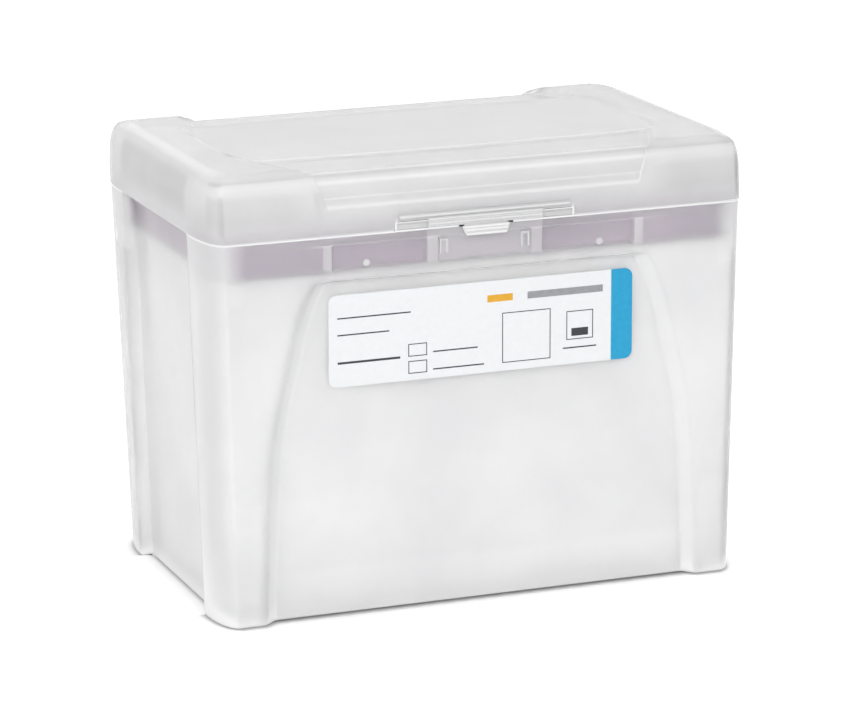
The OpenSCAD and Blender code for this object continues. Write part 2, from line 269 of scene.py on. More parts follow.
def plain_plastic(name, size, darker, paler, rough, **values):
    """A plastic or an ink that lets no light through, with a faint mottle so many millimetres across."""
    material, tree, place, mottle, tint = new_material(name, size, darker, paler)
    surface = add_node(tree, "BsdfPrincipled", {"Roughness": rough, **values}, {"Base Color": tint})
    add_node(tree, "OutputMaterial", {}, {"Surface": surface.outputs[0]})
    return material


GRAIN = 0.0004    # metres


def frosted_skin(name, through, shadow, rough, darker="#f4f4f5", paler="#fbfbfb"):
    """The outer face of a milky wall: through is the share of the light that gets in, blurred."""
    name = "frosted_natural_polypropylene_" + name
    material, tree, place, flow, tint = new_material(name, 18, darker, paler)
    grain = add_node(tree, "TexNoise", {"Scale": 1 / GRAIN, "Detail": 1}, {"Vector": place})
    satin = add_node(tree, "MapRange", {"To Min": rough - 0.05, "To Max": rough + 0.05}, {"Value": flow})
    relief = add_node(tree, "Bump", {"Strength": 0.1, "Distance": 0.00003}, {"Height": grain.outputs["Fac"]})
    # painted light: this attribute paints highlights, whiter and less see-through, and below 0 painted shade,
    # greyer
    edge = add_node(tree, "Attribute", attribute_name="painted_light").outputs["Fac"]
    white = add_node(tree, "Mix", {7: (1, 1, 1, 1)}, {0: edge, 6: tint}, data_type="RGBA")
    painted_shade_scale = add_node(tree, "MapRange", {"From Min": -0.5, "From Max": 0, "To Min": 0.5, "To Max": 1},
                      {"Value": edge})
    shade = add_node(tree, "VectorMath", {}, {0: white.outputs[2], "Scale": painted_shade_scale.outputs["Result"]},
                     operation="SCALE")
    inward = add_node(tree, "MapRange", {"To Min": through, "To Max": 0}, {"Value": edge})
    skin = add_node(tree, "BsdfPrincipled",
                    {"IOR": 1.4, "Coat Weight": 0.8, "Coat Roughness": 0.13, "Coat IOR": 1.5},
                    {"Base Color": shade.outputs["Vector"], "Transmission Weight": inward.outputs["Result"],
                     "Roughness": satin.outputs["Result"], "Normal": relief.outputs["Normal"]})
    # a lamp's light keeps the share called shadow as it goes through
    ray = add_node(tree, "LightPath")
    lamp_through = add_node(tree, "BsdfTransparent", {"Color": (shadow, shadow, shadow, 1)})
    either = add_node(tree, "MixShader", {}, {0: ray.outputs["Is Shadow Ray"], 1: skin.outputs[0],
                                              2: lamp_through.outputs[0]})
    add_node(tree, "OutputMaterial", {}, {"Surface": either.outputs[0]})
    return material


# Natural polypropylene from a fine spark-eroded mould: part of the light scatters in the
# milky wall and the rest gets through it blurred, with faint flow marks and a satin gloss.
# The real grain is about 0.05 mm, and it is drawn at 0.4 mm so that it shows at all.
frosted_base = frosted_skin("base", 0.70, 0.70, 0.85)
# Where the plastic is twice as thick, as in a rib, more of the light scatters in it.
frosted_rib = frosted_skin("rib", 0.44, 0.6, 0.85)
frosted_lip = frosted_skin("lip", 0.25, 0.5, 0.6)
# A copy that lets less light through, for the middle window and for the band under the latch, where it
# lightens the latch's shadow as painted light.
frosted_pocket = frosted_skin("pocket", 0.50, 0.65, 0.85)

# The inner face of the walls: smooth near the rim, where the tray shows through, and matt
# below the rail and in the top of the lid, so that what stands there is lost in milk. HAZE
# says how matt it is, by height.
HAZE_TOP = 102
HAZE = ((76.0, 0.86), (77.9, 0.7), (78.8, 0.24), (85.0, 0.24), (85.4, 0.34), (86.9, 0.34), (87.8, 0.5),
        (91, 0.65), (95.5, 0.8))
inside_face, tree, place, flow, tint = new_material("inner_face_of_polypropylene", 25, "#f6f6f6", "#fdfdfd")
height = add_node(tree, "SeparateXYZ", {}, {0: place})
share = add_node(tree, "Math", {1: 1000 / HAZE_TOP}, {0: height.outputs["Z"]}, operation="MULTIPLY")
haze = add_node(tree, "ValToRGB", {}, {"Fac": share.outputs[0]})
for up, value in HAZE:
    stop = haze.color_ramp.elements.new(up / HAZE_TOP)
    stop.color = (value, value, value, 1)
for stop in (haze.color_ramp.elements[-1], haze.color_ramp.elements[0]):
    haze.color_ramp.elements.remove(stop)
skin = add_node(tree, "BsdfPrincipled", {"Roughness": 0.4},
                {"Base Color": tint, "Alpha": haze.outputs["Color"]})
add_node(tree, "OutputMaterial", {}, {"Surface": skin.outputs[0]})

# Painted highlight: an opaque white plastic on the free edges stands in for the light that runs inside the
# wall to its free edge and leaves there, so the edge looks white.
painted_edge_highlight = plain_plastic("bright_edge_of_polypropylene", 5, "#fbfafc", "#ffffff", 0.3)

# its faces, in the order of its materials
OUTER, INNER, RIB, POCKET, EDGE = range(5)
base = bmesh.new()
base.verts.layers.float.new("painted_light")
for back in (False, True):
    add_quarter(base, BASE_COLUMNS, BASE_ROWS, lambda c, r: base_point(c, r, 0, back), OUTER)
    add_quarter(base, BASE_COLUMNS, INSIDE_ROWS, lambda c, r: base_point(c, r, WALL, back), INNER)
close_round(base)
rim = bmesh.ops.bridge_loops(base, edges=open_edge(base, OUTER, True) + open_edge(base, INNER, True))
for face in rim["faces"]:
    face.material_index = OUTER
floor_edge = [e for e in base.edges if e.is_boundary and e.verts[0].co.z > 2 * FOOT_HOLLOW]
bmesh.ops.edgeloop_fill(base, edges=floor_edge, mat_nr=INNER)
foot = [e for e in base.edges if e.is_boundary]
for shrink, hollow in (((0.965, 0.945, 1), False), ((0.995, 0.99, 1), True)):
    made = bmesh.ops.extrude_edge_only(base, edges=foot)
    foot = [e for e in grown(made, bmesh.types.BMEdge) if e.is_boundary]
    bmesh.ops.scale(base, verts=grown(made), vec=shrink)
    for v in grown(made):
        v.co.z = FOOT_HOLLOW if hollow else v.co.z
bmesh.ops.edgeloop_fill(base, edges=foot, mat_nr=OUTER)
# the middle window and the band under the latch get the lighter copy, which lightens the latch's shadow there
# as painted light, and the rim's top gets the opaque white edge plastic: a painted highlight
for face in base.faces:
    x, y, z = face.calc_center_median()
    x = abs(x)
    if face.material_index != OUTER:
        continue
    if y < 0 and WINDOW_LOW < z < WINDOW_HIGH and any(low < x < high for low, high in RIB_X):
        face.material_index = RIB
    elif y < 0 and (WINDOW_LOW < z < WINDOW_HIGH and x < RIB_X[0][0]
                    or z > WINDOW_HIGH - 0.1 and x < RIB_X[0][1]):
        face.material_index = POCKET
    elif z > BASE_TOP - 0.42:
        face.material_index = EDGE
make_piece(base, "base_shell", [frosted_base, inside_face, frosted_rib, frosted_pocket, painted_edge_highlight], "base",
           "frosted_base", "base_box")

# ---------------------------- latch pocket of the base
# Moulded with the base: the raised lip that fills the lid's finger notch, two small hooks
# like narrow arches in the middle window, and a round boss in each side window.

WINDOW_FACE = WINDOW_DEPTH - TOP_Y + 0.1
HOOK_X, HOOK_Z = 9.5, (80.9, 83.7, 84.15)
BOSS_X, BOSS_Z = 27.3, 80.3
LIP_X, LIP_TOP = 20.85, 88.58


def block(bm, low, high, ease):
    """A moulded block between two corners, its edges rounded by ease."""
    made = bmesh.ops.create_cube(bm, size=1)["verts"]
    bmesh.ops.scale(bm, verts=made, vec=[h - l for l, h in zip(low, high)])
    bmesh.ops.translate(bm, verts=made, vec=[(h + l) / 2 for l, h in zip(low, high)])
    edges = list({e for v in made for e in v.link_edges})
    bmesh.ops.bevel(bm, geom=edges, offset=ease, segments=3, profile=0.5, affect="EDGES", material=-1)


def drum(bm, middle, axis, radius, length, ease, steps=40):
    """A round pin or boss along X or Y, its two rims rounded by ease."""
    made = bmesh.ops.create_cone(bm, cap_ends=True, segments=steps, radius1=radius, radius2=radius,
                                 depth=length)["verts"]
    turn = Matrix.Rotation(math.pi / 2, 3, "Y" if axis == "X" else "X")
    bmesh.ops.rotate(bm, verts=made, cent=(0, 0, 0), matrix=turn)
    bmesh.ops.translate(bm, verts=made, vec=middle)
    rims = list({e for v in made for e in v.link_edges if any(len(f.verts) > 4 for f in e.link_faces)})
    bmesh.ops.bevel(bm, geom=rims, offset=ease, segments=2, profile=0.5, affect="EDGES", material=-1)


pocket = bmesh.new()
for x in (-HOOK_X, HOOK_X):
    # a flat plate with its lower middle cut away, then given its thickness
    hook = bmesh.ops.create_grid(pocket, x_segments=3, y_segments=2, size=1)["verts"]
    for k, v in enumerate(hook):
        v.co = Vector((x + (-1, -0.5, 0.5, 1)[k % 4], WINDOW_FACE + 0.2, HOOK_Z[k // 4]))
    below = Vector((x, 0, 80))
    faces = sorted({f for v in hook for f in v.link_faces},
                   key=lambda f: (f.calc_center_median() - below).length)
    bmesh.ops.delete(pocket, geom=faces[:1], context="FACES")
    made = bmesh.ops.extrude_face_region(pocket, geom=faces[1:])
    bmesh.ops.translate(pocket, verts=grown(made), vec=(0, -0.8, 0))
for x in (-BOSS_X, BOSS_X):
    drum(pocket, (x, WINDOW_FACE, BOSS_Z), "Y", 0.85, 0.6, 0.25, 20)
for face in pocket.faces:
    face.material_index = 1
block(pocket, (-LIP_X, 0.05 - TOP_Y, BASE_TOP), (LIP_X, 1.2 - TOP_Y, LIP_TOP), 0.2)
make_piece(pocket, "base_latch_pocket", [frosted_lip, frosted_rib], "base", "frosted_base")

# ---------------------------- lid
# Hinged cover of the same natural polypropylene, soft at its edges. Front and back slope
# in to a lowered strip, and a raised plateau in the middle takes the feet of a box on top.

RIM = 87.0
LID_X, LID_Y = 63.5, 42.3
LID_UP = 14.5      # height over the rim
STRIP_DROP = 1.1   # how far the strips and the plateau lie below the lid's corners
PLATEAU_DROP = 0.5
NOTCH_UP = 1.9
NOTCH_X = 21.0
PLATEAU_Y = 26.6   # the end walls run straight as far as this from the middle
BACK_WIDER = 2.5   # how much wider the strip behind is at the top than the one in front
EDGE_WIDTH = 1.9

# half width of the front slope by height over the rim
SLOPE_EDGE = ((-1, 36.6), (5, 36.8), (6, 37.0), (7.6, 37.9), (11.3, 40.3), (13.3, 41.7), (13.4, 42.0),
              (15, 42.0))
# the same edge on top, by distance from the middle of the lid, and how far it is stretched
TOP_EDGE = ((0, 50.8), (14, 50.6), (19, 49.4), (22.8, 47.2), (25.0, 46.4), (36.9, 42.0), (50, 42.0))
TOP_STRETCH = ((0, 0.5), (13, 0.5), (17, 2.2), (21, 2.0), (23.4, 1.3), (36.9, 1.3), (50, 1.3))
CURVE_X = 46.4     # half width of the plateau's curved edges

# columns of a quarter: what it crosses, where, its share of the front slope, and its share
# of the finger notch (for the end wall, of the plateau)
LID_COLUMNS = (
    [("front", x, 1, notch) for x, notch in (
        (0, 1), (6, 1), (12, 1), (17, 1), (19.6, 1), (20.2, 1), (20.5, 0.9), (20.8, 0.3), (21.2, 0),
        (22, 0), (28, 0), (33, 0))]
    + [("edge", off, s, 0) for off, s in (
        (-1.7, 1), (-0.85, 0.99), (-0.52, 0.9), (-0.18, 0.64), (0.18, 0.36), (0.52, 0.1), (0.85, 0.01),
        (EDGE_WIDTH, 0))]
    + [("land", share, 0, 0) for share in (0.3, 0.65, 1)]
    + [("corner", angle, 0, 0) for angle in (7.5, 15, 22.5, 30, 37.5, 45, 52.5, 60, 67.5, 75, 82.5, 90)]
    + [("end", y, 0, p) for y, p in (
        (-PLATEAU_Y, 0), (-24.0, 0), (-23.3, 0.03), (-23.1, 0.2), (-22.85, 0.6), (-22.65, 0.86),
        (-22.4, 0.97), (-21.9, 1), (-17, 1), (-9, 1), (0, 1))])
# painted light of the plateau's edge, by distance from the middle of the lid
PLATEAU_LIGHT = ((0, 0), (21.9, 0), (22.4, 0.7), (22.65, 0.9), (22.85, 0.3), (23.1, 0.08), (23.3, 0.1),
                 (24, 0.2), (26.6, 0.1), (30, 0), (50, 0))
# painted highlight of the slope's side edges, by distance from the edge
SIDE_LIGHT = {-0.52: 0.4, -0.18: 0.8, 0.18: 0.8, 0.52: 0.4}

# rows upwards: how far in and how far up, on the front slope and then at the corners, and the
# painted light of the edge there, greyer below 0 as painted shade: on the slope, on the front beside it and
# on the end wall
LID_ROWS = (
    (0.3, 0, 0.3, 0, 0, 0, 0), (0.08, 0.04, 0.08, 0.04, 0, 0, 0), (0, 0.2, 0, 0.2, 0, 0, 0),
    (0, 0.55, 0, 0.55, 0, 0, 0), (0, 2.6, 0, 2.6, 0, 0, 0), (0.02, 4.6, 0.08, 5, 0, 0, -0.12),
    (0.03, 5.5, 0.13, 6.6, 0.05, 0, -0.17), (0.1, 5.9, 0.2, 8, 0.4, 0, -0.18),
    (0.28, 6.22, 0.32, 9.2, 0.7, 0, -0.18), (0.55, 6.52, 0.5, 10.3, 0.4, 0.08, -0.18),
    (0.85, 6.82, 0.72, 11.2, 0.02, 0.3, -0.18),
    (1.45, 7.42, 0.95, 11.9, 0, 0.5, -0.15), (1.68, 7.66, 1.25, 12.55, 0.05, 0.15, -0.06),
    (1.84, 7.86, 1.6, 13.05, 0.8, -0.1, 0), (1.95, 8.1, 2.0, 13.4, 0.05, -0.1, 0.12),
    (1.98, 9.5, 2.45, 13.7, 0, -0.03, 0.27), (2.0, 10.5, 3.0, 13.95, 0.12, 0, 0.42),
    (2.04, 10.95, 3.5, 14.15, 0.4, 0, 0.5), (2.18, 11.35, 4.1, 14.35, 0.8, 0, 0.5),
    (2.42, 11.68, 4.6, 14.45, 0.6, 0, 0.32), (2.9, 12.13, 4.85, 14.48, 0.1, 0, 0.22),
    (3.3, 12.5, 5.0, 14.5, -0.1, 0, 0.14), (3.75, 12.93, 5.12, 14.5, -0.12, 0, 0.08),
    (3.95, 13.2, 5.2, 14.5, 1, 0, 0.05), (4.2, 13.38, 5.3, 14.5, 0.05, 0, 0.02),
    (5.4, 13.4, 5.4, 14.5, 0.05, 0, 0))
LID_INSIDE_ROWS = (
    (1.0, 0, 1.0, 0), (1.3, 0.3, 1.3, 0.3), (1.3, 4.4, 1.3, 5), (1.9, 5.4, 1.5, 8), (3.2, 6.6, 2.2, 10.5),
    (3.35, 8, 3, 11.8), (3.4, 10.6, 3.8, 12.5), (4.5, 11.7, 4.8, 12.9), (6, 12.1, 6.7, 13.2))


def lid_light(column, row, up, back):
    """Painted light on the lid's outside where a column and a row cross: whiter above 0, and greyer below 0
    as painted shade.
    """
    kind, at, slope, _ = column
    slope_light, light, end_light = row[4:]
    if kind == "corner":
        light += (max(end_light, 0) - light) * math.sin(math.radians(at)) ** 2
        # painted shade down the corners near their start, where a lamp's highlight falls
        light -= 0.2 * max(0, 1 - abs(at - 10) / 15) * (1 < up < 11)
    elif kind == "end":
        light = max(end_light, 0) + min(end_light, 0) * min((at + PLATEAU_Y) / 3, 1)
    # painted shade on the front of the lid's lands and corners, below the top
    if (kind == "land" or kind == "corner" and at < 50) and 2 < up < 13.2 and not back:
        light -= 0.11 * ramp(up, 2, 5)
    light = slope * slope_light + (1 - slope) * light
    if kind == "edge" and 6.5 < row[1] < 12.8:
        light += SIDE_LIGHT.get(at, 0)
    return light


def lid_point(column, row, wall, back):
    """Where a column and a row of the lid cross, on its outside (wall 0) or its inside, and its painted
    light.
    """
    kind, at, slope, notch = column
    slope_in, slope_up, corner_in, corner_up = row[:4]
    round_x, round_y = max(CORNER_X - corner_in, 1.6), max(CORNER_Y - corner_in, 3)
    up = slope * slope_up + (1 - slope) * corner_up
    # towards the top the strip behind gets wider, and lies a little lower than the one in front
    rise = ramp(up, 8.5, 13.5)
    wider = 1 + 1.4 * rise * back
    edge = between(SLOPE_EDGE, slope_up) + wall + BACK_WIDER * rise * back
    if back:
        up -= rise * (slope + 0.5 * (1 - slope) * (kind in ("edge", "land")))
    y = slope * slope_in + (1 - slope) * corner_in - LID_Y
    if kind == "front":
        x = at
        up += 0 if back else NOTCH_UP * notch * max(0, 1 - up / 2.6)
    elif kind == "edge":
        x = edge + at * wider
    elif kind == "land":
        land = edge + EDGE_WIDTH * wider
        x = land + (LID_X - corner_in - round_x - land) * at
    elif kind == "corner":
        turn = math.radians(at)
        x = LID_X - corner_in - round_x + round_x * math.sin(turn)
        y = corner_in - LID_Y + round_y - round_y * math.cos(turn)
        up -= rise * (0.6 * math.sin(2 * turn) * (1 - corner_in / 5.4) + 0.5 * back * math.cos(turn) ** 2)
    else:
        x, y = LID_X - corner_in, at
    light = 0 if wall else lid_light(column, row, up, back)
    return Vector((x, -y if back else y, RIM + up)), light


def add_lid_top(bm, rows, wall, back):
    """Closes a quarter of the lid from its last row to the middle, with the strip and the plateau in it."""
    painted_light = bm.verts.layers.float["painted_light"]
    ring, lights = zip(*(lid_point(column, rows[-1], wall, back) for column in LID_COLUMNS))
    for point in ring:
        point.y = -abs(point.y)
    turn = next(k for k, column in enumerate(LID_COLUMNS) if column[:2] == ("corner", 45))
    last_land = next(k for k, column in enumerate(LID_COLUMNS) if column[:2] == ("land", 1))
    ahead, beside, corner = ring[:turn + 1], ring[turn:], ring[turn]
    points = bmesh.ops.create_grid(bm, x_segments=turn, y_segments=len(beside) - 1, size=1)["verts"]
    for k, point in enumerate(points):
        i, j = k % (turn + 1), k // (turn + 1)
        kind, at, slope, _ = LID_COLUMNS[i]
        plateau = LID_COLUMNS[turn + j][3]
        x = ahead[i].x + (beside[j].x - corner.x) * ahead[i].x / corner.x
        y = beside[j].y
        y += (ahead[i].y - corner.y) * max(0, (y + PLATEAU_Y) / (corner.y + PLATEAU_Y))
        if j > 0 and kind in ("edge", "land"):
            edge, stretch = between(TOP_EDGE, -y) + wall, between(TOP_STRETCH, -y)
            behind = back * ramp(-y, 24, 36.9)
            edge, stretch = edge + BACK_WIDER * behind, stretch + 1.1 * behind
            land = edge + EDGE_WIDTH * stretch
            x = edge + at * stretch if kind == "edge" else land + (ahead[last_land].x - land) * at
        if j > 0 and x < CURVE_X:
            # the plateau's front and back edges are curved
            y -= 1.5 * (1 - (x / CURVE_X) ** 2) * min(max(0, 1.2 - abs(y + 22.8) / 7.5), 1)
        up = LID_UP - wall - slope * (PLATEAU_DROP * plateau + STRIP_DROP * (1 - plateau))
        # the top falls to the height of the last row at its front and at its end
        down = max(0, (beside[j].y + 24) / (corner.y + 24))
        side = max(0, (ahead[i].x - 50) / (corner.x - 50))
        low = [p.z - RIM - LID_UP + wall for p in (ahead[i], beside[j], corner)]
        up += down * (low[0] + slope * STRIP_DROP) + side * low[1] - down * side * low[2]
        light = slope * between(PLATEAU_LIGHT, -beside[j].y) + lights[i] * (j == 0)
        light += lights[turn + j] * (i == turn) * (j > 0)
        point.co = (x, -y if back else y, RIM + up)
        point[painted_light] = 0 if wall else light
        for face in point.link_faces:
            face.material_index = INNER if wall else OUTER


# The same plastic as the base, its colour a little greyer as painted shade, since less light comes back out
# of the lid.
frosted_lid = frosted_skin("lid", 0.56, 0.83, 0.75, "#efeff0", "#f5f5f5")
lid = bmesh.new()
lid.verts.layers.float.new("painted_light")
for back in (False, True):
    for wall, rows, skin in ((0, LID_ROWS, OUTER), (WALL, LID_INSIDE_ROWS, INNER)):
        add_quarter(lid, LID_COLUMNS, rows, lambda c, r: lid_point(c, r, wall, back), skin)
        add_lid_top(lid, rows, wall, back)
close_round(lid)
LID_EDGE = 2    # the number of its bright edge's material
# the lid's rim and its finger notch get the opaque white edge plastic: a painted highlight
rim = bmesh.ops.bridge_loops(lid, edges=[e for e in lid.edges if e.is_boundary])
for face in rim["faces"]:
    face.material_index = LID_EDGE
for face in lid.faces:
    x, y, z = face.calc_center_median()
    in_notch = z < RIM + 2.2 and abs(x) < NOTCH_X and y < WALL - LID_Y
    if face.material_index == OUTER and (z < RIM + 0.16 or in_notch):
        face.material_index = LID_EDGE
make_piece(lid, "lid_shell", [frosted_lid, inside_face, painted_edge_highlight], "lid", "frosted_lid", "hinged_lid")

# ---------------------------- latch
# Moulded with the lid's front edge: a thick strip over two small windows, a plate between
# them in front of the base's lip, and a snap tongue with three grip ridges.

FRONT = -LID_Y
STRIP_HALF = 20.0
PLATE_HALF = 13.4
TONGUE_HALF = 5.5
# half width and height over the rim of the tongue's outline, upwards
TONGUE = ((4.65, -2.4), (TONGUE_HALF, -0.7), (TONGUE_HALF, -0.16))

# Greyer than the lid, as the latch is thick and has no light behind it.
frosted_latch = frosted_skin("latch", 0.4, 0.5, 0.6, "#f0f0f1", "#f8f8f8")
# The slots beside the tongue let it bend; dark blocks put in them are painted shade, for the shadow inside
# them.
slot_shade = plain_plastic("shaded_slot_in_polypropylene", 2, "#121013", "#1b181c", 0.7)
PLAIN, BRIGHT, SHADED = range(3)


def latch_part(before, skin, light):
    """Gives the faces added to the latch since then a material and their painted light."""
    latch.faces.ensure_lookup_table()
    for face in latch.faces[before:]:
        face.material_index = skin
        for point in face.verts:
            point[painted_light] = light


def latch_block(low, high, ease, skin, light=0):
    """A block of the latch, placed from the middle of the lid's front edge."""
    before = len(latch.faces)
    block(latch, (low[0], FRONT + low[1], RIM + low[2]), (high[0], FRONT + high[1], RIM + high[2]), ease)
    latch_part(before, skin, light)


def latch_rod(half, out, up, radius, ease, steps, light):
    """A rounded rib along the latch, so far out from the lid's front and so high over the rim."""
    before = len(latch.faces)
    drum(latch, (0, FRONT - out, RIM + up), "X", radius, 2 * half, ease, steps)
    latch_part(before, PLAIN, light)


latch = bmesh.new()
painted_light = latch.verts.layers.float.new("painted_light")
# the strip, with painted shade along its top for a groove over it, a painted highlight along a ridge and
# painted shade on a step under it
latch_block((-STRIP_HALF, -0.15, 3.3), (STRIP_HALF, 1.0, 3.5), 0.08, PLAIN, -0.12)
latch_block((-STRIP_HALF, -0.45, 2.4), (STRIP_HALF, 1.0, 3.36), 0.3, PLAIN, 0.1)
latch_block((-STRIP_HALF, -0.5, 2.72), (STRIP_HALF, 0.5, 2.98), 0.08, PLAIN, 0.8)
latch_block((-19.8, -0.2, 2.2), (19.8, 0.15, 2.45), 0.05, PLAIN, -0.04)
# the plate, with four fine ribs that carry painted highlights
latch_block((-PLATE_HALF, -0.4, -0.34), (PLATE_HALF, 0.15, 2.3), 0.12, PLAIN, 0.05)
for up, light in ((0.4, 0.3), (0.9, 0), (1.4, 0.8), (1.95, 0.3)):
    latch_rod(13.1, 0.4, up, 0.15, 0.04, 12, light)
# the lower edge beside the tongue and the frames of the two windows in the opaque white edge plastic as
# painted highlights, with painted shade under the frames, and the slots
for a, b in ((-20.9, -6.4), (6.4, 20.9)):
    latch_block((a, -0.42, -0.32), (b, 0.15, 0.06), 0.1, BRIGHT)
for a, b in ((-20.5, -13.3), (13.3, 20.5)):
    latch_block((a, -0.2, 1.58), (b, 0.15, 1.82), 0.08, BRIGHT)
    latch_block((a, -0.15, 1.2), (b, 0.15, 1.6), 0.05, PLAIN, -0.15)
for a, b in ((-20.95, -20.5), (20.5, 20.95)):
    latch_block((a, -0.12, -0.3), (b, 0.15, 1.75), 0.1, BRIGHT)
# dark blocks in the slots: painted shade
for a, b in ((-6.35, -5.0), (5.0, 6.35)):
    latch_block((a, -0.5, -0.3), (b, -0.2, 0.12), 0.15, SHADED)
# the tongue, its thin root in painted shade and its grip ridges with painted highlights
latch_block((-5.2, -0.55, -0.2), (5.2, -0.2, 0.0), 0.08, PLAIN, -0.25)
before = len(latch.faces)
tongue = bmesh.ops.create_grid(latch, x_segments=1, y_segments=2, size=1)["verts"]
for k, v in enumerate(tongue):
    half, up = TONGUE[k // 2]
    v.co = Vector((half if k % 2 else -half, FRONT - 0.15, RIM + up))
made = bmesh.ops.extrude_face_region(latch, geom=list({f for v in tongue for f in v.link_faces}))
bmesh.ops.translate(latch, verts=grown(made), vec=(0, -0.55, 0))
latch_part(before, PLAIN, 0.35)
for inset, down in ((0.25, 0.5), (0.5, 1.15), (0.8, 2.1)):
    latch_rod(TONGUE_HALF - inset, 0.74, -down, 0.27, 0.08, 16, 0.9)
make_piece(latch, "lid_latch", [frosted_latch, painted_edge_highlight, slot_shade], "lid", "frosted_lid")

# ---------------------------- hinge
# Two snap hinges at the back: a moulded knuckle on the base turns between two ears of the
# lid, on a pin that is moulded across them.

HINGE_X = 38.0
HINGE_Y = TOP_Y + 2.1
KNUCKLE_R, KNUCKLE_W = 1.6, 5.4
PIN_R, BORE_R = 0.8, 0.85
EAR_W, EAR_APART = 2.0, 8.0

knuckles = bmesh.new()
ears = bmesh.new()
for x in (-HINGE_X, HINGE_X):
    bore = bmesh.ops.create_circle(knuckles, segments=40, radius=BORE_R)["verts"]
    outside = bmesh.ops.create_circle(knuckles, segments=40, radius=KNUCKLE_R)["verts"]
    loops = list({e for v in bore + outside for e in v.link_edges})
    ring = bmesh.ops.bridge_loops(knuckles, edges=loops)["faces"]
    made = bmesh.ops.extrude_face_region(knuckles, geom=ring)
    bmesh.ops.translate(knuckles, verts=grown(made), vec=(0, 0, KNUCKLE_W))
    knuckle = bore + outside + grown(made)
    bmesh.ops.rotate(knuckles, verts=knuckle, cent=(0, 0, 0), matrix=Matrix.Rotation(math.pi / 2, 3, "Y"))
    bmesh.ops.translate(knuckles, verts=knuckle, vec=(x - KNUCKLE_W / 2, HINGE_Y, RIM))
    block(knuckles, (x - KNUCKLE_W / 2, TOP_Y - 0.4, RIM - KNUCKLE_R),
          (x + KNUCKLE_W / 2, HINGE_Y - 0.3, RIM - 0.3), 0.2)
    for ear_x in (x - EAR_APART / 2, x + EAR_APART / 2):
        drum(ears, (ear_x, HINGE_Y, RIM), "X", KNUCKLE_R - 0.01, EAR_W, 0.25)
        block(ears, (ear_x - EAR_W / 2, LID_Y - 0.6, RIM + 0.2),
              (ear_x + EAR_W / 2, HINGE_Y, RIM + 2.8), 0.25)
    drum(ears, (x, HINGE_Y, RIM), "X", PIN_R, 6.2, 0.05)
make_piece(knuckles, "base_hinge_knuckles", [frosted_base], "base", "frosted_base")
make_piece(ears, "lid_hinge_ears", [frosted_lid], "lid", "frosted_lid")

# ---------------------------- tray
# Lilac polypropylene rack that drops into the base: a flange on the base's ledge, a skirt
# inside its walls, and a deck just over the rim with ninety-six round holes.

COLUMNS, ROWS = 12, 8
PITCH = 9.0
DECK_Z = 89.4
DECK_T = 1.6
HOLE_R = 3.75
SKIRT_X, SKIRT_Y = 58.7, 39.3
FLANGE_X, FLANGE_Y = 61.5, 40.5
# the flange is cut back beside the recess of each end wall
CUT_Y, CUT_STEP, CUT_DEPTH = 27.0, 0.2, 2.55

# Injection-moulded and coloured through: even lilac with a satin face and faint flow marks.
lilac_polypropylene, tree, place, flow, tint = new_material("lilac_polypropylene", 12, "#74367a", "#7b3c81")
grain = add_node(tree, "TexNoise", {"Scale": 1 / GRAIN, "Detail": 1}, {"Vector": place})
relief = add_node(tree, "Bump", {"Strength": 0.15, "Distance": 0.00003}, {"Height": grain.outputs["Fac"]})
lilac = add_node(tree, "BsdfPrincipled", {"Roughness": 0.42, "IOR": 1.49},
                 {"Base Color": tint, "Normal": relief.outputs["Normal"]})
add_node(tree, "OutputMaterial", {}, {"Surface": lilac.outputs[0]})


def seat_place(column, row):
    """Where the middle of a tip's hole is, in X and Y."""
    return (column - (COLUMNS - 1) / 2) * PITCH, (row - (ROWS - 1) / 2) * PITCH


def outline(bm, half_x, half_y, round_x, z):
    """A loop of edges like the box seen from above, its corners three times as long as they are wide."""
    made = bmesh.ops.create_grid(bm, x_segments=1, y_segments=1, size=1)["verts"]
    bmesh.ops.scale(bm, verts=made, vec=(half_x, half_y / 3, 1))
    corners = bmesh.ops.bevel(bm, geom=made, offset=round_x, segments=10, profile=0.5, affect="VERTICES",
                              material=-1)
    sheet = corners["verts"][0].link_faces[0]
    points, edges = list(sheet.verts), list(sheet.edges)
    bmesh.ops.delete(bm, geom=[sheet], context="FACES_ONLY")
    bmesh.ops.scale(bm, verts=points, vec=(1, 3, 1))
    bmesh.ops.translate(bm, verts=points, vec=(0, 0, z))
    return edges


tray = bmesh.new()
# half sizes, corner, how far inside them and height of each loop up the outside
outside = [outline(tray, half_x - i, half_y - i, round_x, z) for half_x, half_y, round_x, i, z in (
    (SKIRT_X, SKIRT_Y, 2.2, 1.3, 78.8), (SKIRT_X, SKIRT_Y, 2.8, 0.15, 78.8),
    (SKIRT_X, SKIRT_Y, 3, 0, 79.0), (SKIRT_X, SKIRT_Y, 3, 0, 85.7),
    (FLANGE_X, FLANGE_Y, 2.6, 0.12, 85.7), (FLANGE_X, FLANGE_Y, 2.6, 0, 85.85),
    (FLANGE_X, FLANGE_Y, 2.6, 0, 86.75), (FLANGE_X, FLANGE_Y, 2.6, 0.12, 86.9),
    (SKIRT_X, SKIRT_Y, 3, 0, 86.9), (SKIRT_X, SKIRT_Y, 3, 0, 88.8), (SKIRT_X, SKIRT_Y, 3, 0.15, 89.2),
    (SKIRT_X, SKIRT_Y, 3, 0.5, DECK_Z))]
inside = outline(tray, SKIRT_X - 1.3, SKIRT_Y - 1.3, 2.2, DECK_Z - DECK_T)
for low, high in zip([inside] + outside, outside):
    bmesh.ops.bridge_loops(tray, edges=low + high)
for y in (-CUT_Y - CUT_STEP, -CUT_Y, CUT_Y, CUT_Y + CUT_STEP):
    bmesh.ops.bisect_plane(tray, geom=everything(tray), plane_co=(0, y, 0), plane_no=(0, 1, 0))
